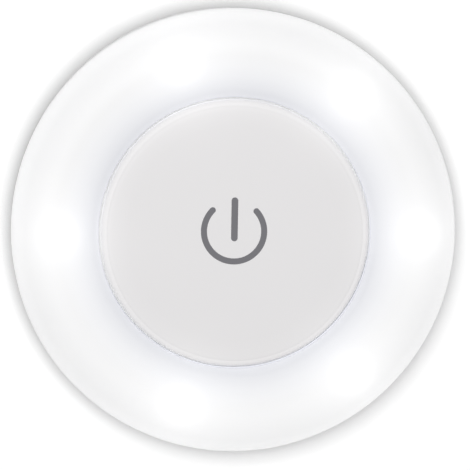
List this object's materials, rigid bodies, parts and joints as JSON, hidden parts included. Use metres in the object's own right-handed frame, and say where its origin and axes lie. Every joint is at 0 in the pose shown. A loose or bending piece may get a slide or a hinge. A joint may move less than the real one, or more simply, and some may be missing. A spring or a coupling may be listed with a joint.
{
  "type": "under cabinet push light",
  "caption": "Round battery push light: a stick-on base, a lamp with a milky ring lens that turns onto it, and a push button in its middle.",
  "frame": {"origin": "middle of the back face, on the surface that the adhesive pads stick to", "axes": "+Z out of the lit face, +Y towards the top of the power symbol, +X to its right"},
  "size_m": [0.085, 0.085, 0.0228],
  "materials": {
    "shell_plastic": "satin moulded white plastic",
    "milky_lens": "milky translucent plastic, lit from behind",
    "button_plastic": "satin moulded off-white plastic",
    "reflector_white": "matte high-white plastic",
    "board_laminate": "white solder mask",
    "foam_pad": "closed-cell foam tape",
    "cell_wrap": "plain shrink sleeve",
    "plate_nickel": "nickel plated",
    "spring_steel": "bright zinc",
    "led_package": "phosphor in a white package",
    "chip_black": "moulded black"
  },
  "bodies": {
    "base": {"mounting_base": "shell_plastic", "adhesive_pad_upper": "foam_pad", "adhesive_pad_lower": "foam_pad"},
    "lamp": {"rear_housing": "shell_plastic", "battery_cell_1": "cell_wrap", "battery_cell_2": "cell_wrap", "battery_cell_3": "cell_wrap", "cell_spring_1": "spring_steel", "cell_spring_2": "spring_steel", "cell_spring_3": "spring_steel", "bridge_contact_1": "plate_nickel", "bridge_contact_2": "plate_nickel", "positive_terminal": "plate_nickel", "negative_terminal": "plate_nickel", "circuit_board": "board_laminate", "led_1": "led_package", "led_2": "led_package", "led_3": "led_package", "led_4": "led_package", "led_5": "led_package", "led_6": "led_package", "resistor_1": "chip_black", "resistor_2": "chip_black", "resistor_3": "chip_black", "resistor_4": "chip_black", "resistor_5": "chip_black", "resistor_6": "chip_black", "switch_body": "chip_black", "reflector_ring": "reflector_white", "board_screw_1": "spring_steel", "board_screw_2": "spring_steel", "board_screw_3": "spring_steel", "ring_lens": "milky_lens", "button_spring_1": "spring_steel", "button_spring_2": "spring_steel", "button_spring_3": "spring_steel"},
    "button": {"push_button": "button_plastic"},
    "plunger": {"switch_plunger": "chip_black"}
  },
  "joints": [
    {"name": "bayonet_twist", "type": "hinge", "parent": "base", "child": "lamp", "pos_m": [0, 0, 0.0028], "axis": [0, 0, 1], "range_deg": [0, 26]},
    {"name": "button_press", "type": "slide", "parent": "lamp", "child": "button", "axis": [0, 0, -1], "range_m": [0, 0.0012], "stiffness_N_per_m": 800, "springref_m": -0.001, "deforming": ["button_spring_1", "button_spring_2", "button_spring_3"]},
    {"name": "plunger_slide", "type": "slide", "parent": "lamp", "child": "plunger", "axis": [0, 0, -1], "range_m": [0, 0.0012]}
  ],
  "couplings": [
    {"joint": "plunger_slide", "follows": "button_press", "ratio": 1}
  ]
}
